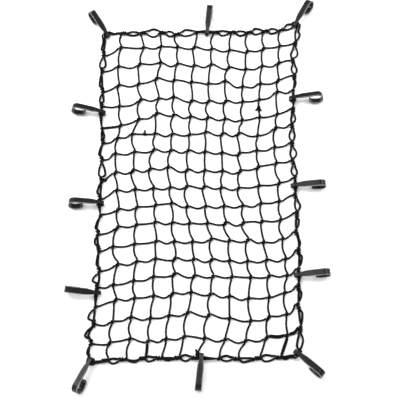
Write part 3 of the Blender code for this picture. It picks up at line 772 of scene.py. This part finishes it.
HOLLOW, HOLLOW_TO = 0.35 * MM, 0.75      # depth of the hollow inner face, and how far out it goes

# How many rings of points each stretch of the hook has.
TIP_RINGS, CURL_RINGS, RETURN_RINGS, BEND_RINGS = 9, 10, 3, 34
STRAP_RINGS, EYE_RINGS, FOOT_RINGS, END_RINGS = 30, 18, 2, 6


def hook_run():
    """The hook's outer outline from the tip of the J round the bend and along the strap to its eye.

    It is made of arcs and of straight lines that meet them without a corner. Returns each ring's
    place on the outline, the way it runs, its thickness, its width, and how far the thickness is
    drawn in from the outline.
    """
    bend = HOOK_DEPTH / 2
    rear = np.array([-EYE_SLOT, 0.0])
    middle = rear + np.array([HOOK_LENGTH - EYE_OUTER - bend, bend - EYE_OUTER])
    run = middle - rear
    slope = math.atan2(run[1], run[0]) + math.asin((bend - EYE_OUTER) / np.hypot(*run))
    lean = math.pi / 2 + slope
    floor = -EYE_OUTER
    curl = np.array([middle[0] + bend - J_RETURN, floor + J_CURL])
    curl_end = -math.pi / 2 - CURL_TURN

    def arc(centre, radius, start, end, count):
        angle = np.linspace(start, end, count)
        return (np.stack([centre[0] + radius * np.cos(angle), centre[1] + radius * np.sin(angle)], axis=1),
                np.stack([-np.sin(angle), np.cos(angle)], axis=1))

    def line(start, end, count):
        share = np.linspace(0, 1, count + 2)[1:-1, None]
        way = (np.asarray(end) - start) / np.linalg.norm(np.asarray(end) - start)
        return np.asarray(start) + (np.asarray(end) - start) * share, np.repeat(way[None], count, axis=0)

    round_tip = np.linspace(math.pi / 2 * 0.97, 0, TIP_RINGS)
    tip_way = np.array([-math.sin(curl_end), math.cos(curl_end)])
    tip_from = curl + J_CURL * np.array([math.cos(curl_end), math.sin(curl_end)])
    tip_places = tip_from - tip_way * (TIP_ROUND * np.sin(round_tip))[:, None]
    at_lean = np.array([math.cos(lean), math.sin(lean)])
    parts = [
        (tip_places, np.repeat(tip_way[None], TIP_RINGS, axis=0)),
        arc(curl, J_CURL, curl_end, -math.pi / 2, CURL_RINGS),
        line((curl[0], floor), (middle[0], floor), RETURN_RINGS),
        arc(middle, bend, -math.pi / 2, lean, BEND_RINGS),
        line(middle + bend * at_lean, rear + EYE_OUTER * at_lean, STRAP_RINGS),
        arc(rear, EYE_OUTER, lean, 1.5 * math.pi, EYE_RINGS),
        line((rear[0], floor), (0.0, floor), FOOT_RINGS),
        arc((0.0, 0.0), EYE_OUTER, -math.pi / 2, EYE_END, EYE_RINGS),
    ]
    place = np.vstack([part[0] for part in parts])
    way = np.vstack([part[1] for part in parts])
    ring = np.arange(len(place))
    eye_from = len(place) - EYE_RINGS - FOOT_RINGS - EYE_RINGS
    widening = np.clip(place[:, 0] / WIDE_FROM, 0, 1)
    widening = widening * widening * (3 - 2 * widening)
    width = EYE_WIDTH + (STRAP_WIDTH - EYE_WIDTH) * widening
    width[eye_from:] = EYE_WIDTH
    thick = np.where(ring < eye_from, STRAP_THICK, EYE_THICK)
    end = np.sin(round_tip)
    thick[:TIP_RINGS] = STRAP_THICK * np.sqrt(1 - 0.999 * end**6)
    width[:TIP_RINGS] = STRAP_WIDTH - 2 * TIP_ROUND * (1 - np.cos(round_tip))
    shift = (STRAP_THICK - thick) / 2 * (ring < TIP_RINGS)
    thinning = np.clip((ring - (len(place) - END_RINGS)) / (END_RINGS - 1), 0, 1)
    thick = thick * (1 - thinning / 2)
    width = width - EYE_END_IN * thinning
    return place, way, thick, width, shift


def strap_section(ribs=6, per_rib=5):
    """The strap's section, once round, one row for each point.

    A row holds the point's share of the half width and of the half thickness, its share of the
    corner's radius in those two ways, its relief, and how near a rim it is. The outer face carries
    ribs, the height of a cosine, between two raised rims, and the inner face is a little hollow.
    """
    across = np.linspace(-1, 1, ribs * per_rib + 9)
    on_rim = np.clip((np.abs(across) - RIM_FROM) / RIM_SLOPE, 0, 1)
    relief = (1 - on_rim) * (RIB * (0.5 + 0.5 * np.cos(across / RIM_FROM * math.pi * ribs)) - RIM)
    quarter = np.radians([22.5, 45, 67.5])
    corner = [(1, 1, np.sin(quarter), np.cos(quarter)), (1, -1, np.cos(quarter), -np.sin(quarter)),
              (-1, -1, -np.sin(quarter), -np.cos(quarter)), (-1, 1, -np.cos(quarter), np.sin(quarter))]
    inner = np.linspace(1, -1, 11)
    hollow = np.where(np.abs(inner) < HOLLOW_TO, HOLLOW, 0.0)
    flat, below, one = np.ones_like(across), -np.ones_like(inner), np.ones_like(quarter)
    rows = [np.stack([across, flat, 0 * across, flat, relief, np.abs(across)], axis=1)]

    def turned(which):
        a, b, cz, cy = corner[which]
        return np.stack([one * a, one * b, cz, cy, one * 0, one], axis=1)

    rows.append(turned(0))
    rows.append(np.array([[1, 1, 1, 0, 0, 1], [1, 0, 1, 0, 0, 0], [1, -1, 1, 0, 0, 1]], dtype=float))
    rows.append(turned(1))
    rows.append(np.stack([inner, below, 0 * inner, below, hollow, np.abs(inner)], axis=1))
    rows.append(turned(2))
    rows.append(np.array([[-1, -1, -1, 0, 0, 1], [-1, 0, -1, 0, 0, 0], [-1, 1, -1, 0, 0, 1]], dtype=float))
    rows.append(turned(3))
    return np.vstack(rows)


def strap_hook(name, eye, material):
    """The section carried along the run, with a cap at each end, set in the eye's frame."""
    place, way, thick, width, shift = hook_run()
    section = strap_section()
    rings, around = len(place), len(section)
    out = np.stack([way[:, 1], -way[:, 0]], axis=1)
    side = section[None, :, 0] * (width[:, None] / 2 - CORNER) + section[None, :, 2] * CORNER
    corner = np.minimum(CORNER, thick[:, None] / 2)
    rise = section[None, :, 1] * (thick[:, None] / 2 - corner) + section[None, :, 3] * corner
    rise = rise + section[None, :, 4] * np.minimum(1, thick[:, None] / STRAP_THICK)
    rise = rise - (thick / 2 + shift)[:, None]
    flat = place[:, None] + out[:, None] * rise[..., None]
    local = np.concatenate([flat, side[..., None]], axis=2).reshape(-1, 3)
    ends = np.array([local[:around].mean(axis=0), local[-around:].mean(axis=0)])
    local = np.vstack([local, ends])
    turn = np.array(eye.to_3x3())
    points = local @ turn.T + np.array(eye.translation)
    first, step = np.meshgrid(np.arange(rings - 1), np.arange(around), indexing="ij")
    beside = (step + 1) % around
    faces = np.stack([first * around + step, (first + 1) * around + step,
                      (first + 1) * around + beside, first * around + beside], axis=-1).reshape(-1, 4)
    step = np.arange(around)
    following = (step + 1) % around
    last = (rings - 1) * around
    start_middle, end_middle = np.full(around, rings * around), np.full(around, rings * around + 1)
    start_cap = np.stack([step, following, start_middle], axis=1)
    end_cap = np.stack([last + following, last + step, end_middle], axis=1)
    mesh = bpy.data.meshes.new(name)
    mesh.from_pydata(points.tolist(), [], faces.tolist() + start_cap.tolist() + end_cap.tolist())
    # The rim attribute marks where dark_nylon paints a highlight along the strap's edges.
    rim = mesh.attributes.new("rim", "FLOAT", "POINT")
    near_rim = section[:, 5] * np.sqrt(width / STRAP_WIDTH)[:, None]
    rim.data.foreach_set("value", np.append(near_rim, [0, 0]))
    mesh.shade_smooth()
    mesh.materials.append(material)
    piece = bpy.data.objects.new(name, mesh)
    bpy.context.scene.collection.objects.link(piece)
    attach(piece, "root")
    return piece


def dark_nylon():
    """Dark grey nylon, satin, with a fine spark-eroded grain, and a highlight painted in light grey along
    its rims, broken into dashes.
    """
    material, wire, feed = new_finish("dark_nylon", 0.4, Specular_IOR_Level=0.42)
    spot = wire.node("ShaderNodeTexCoord", output=3)
    grain = wire.node("ShaderNodeTexNoise", None, {"Vector": spot, "Scale": 2600.0, "Detail": 2.0})
    clouds = wire.node("ShaderNodeTexNoise", None, {"Vector": spot, "Scale": 45.0, "Detail": 4.0})
    # This noise bumps the surface and breaks the painted rim highlight into uneven dashes.
    scuff_bumps_and_highlight_dashes = wire.node("ShaderNodeTexNoise", None, {"Vector": spot, "Scale": 420.0, "Detail": 5.0})
    rim = wire.node("ShaderNodeAttribute", {"attribute_name": "rim"}, output=2)
    # Painted highlight: near the rims the colour is lifted towards the light grey below, standing in for
    # light caught by the edges; the clouds and grain alone stay near black.
    painted_rim_highlight = rim.between(0.82, 0.96) * (0.3 + scuff_bumps_and_highlight_dashes.between(0.4, 0.62) * 0.7)
    tone_and_painted_highlight = (clouds * 0.5 + grain * 0.2).between(0.15, 0.75) * 0.035 + painted_rim_highlight
    feed("Base Color", mixed(wire, tone_and_painted_highlight, (0.0035, 0.0035, 0.004), (0.30, 0.30, 0.31)))
    feed("Roughness", 0.23 + clouds * 0.11)
    height = grain * 0.6 + scuff_bumps_and_highlight_dashes * 0.4
    feed("Normal", wire.node("ShaderNodeBump", None,
                             {"Height": height, "Strength": 0.35, "Distance": 0.12 * MM}))
    return material


nylon = dark_nylon()
for hook in HOOKS:
    piece = strap_hook(hook.name.replace("hook_", "strap_hook_"), EYES[hook.name], nylon)
    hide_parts(hook.name)
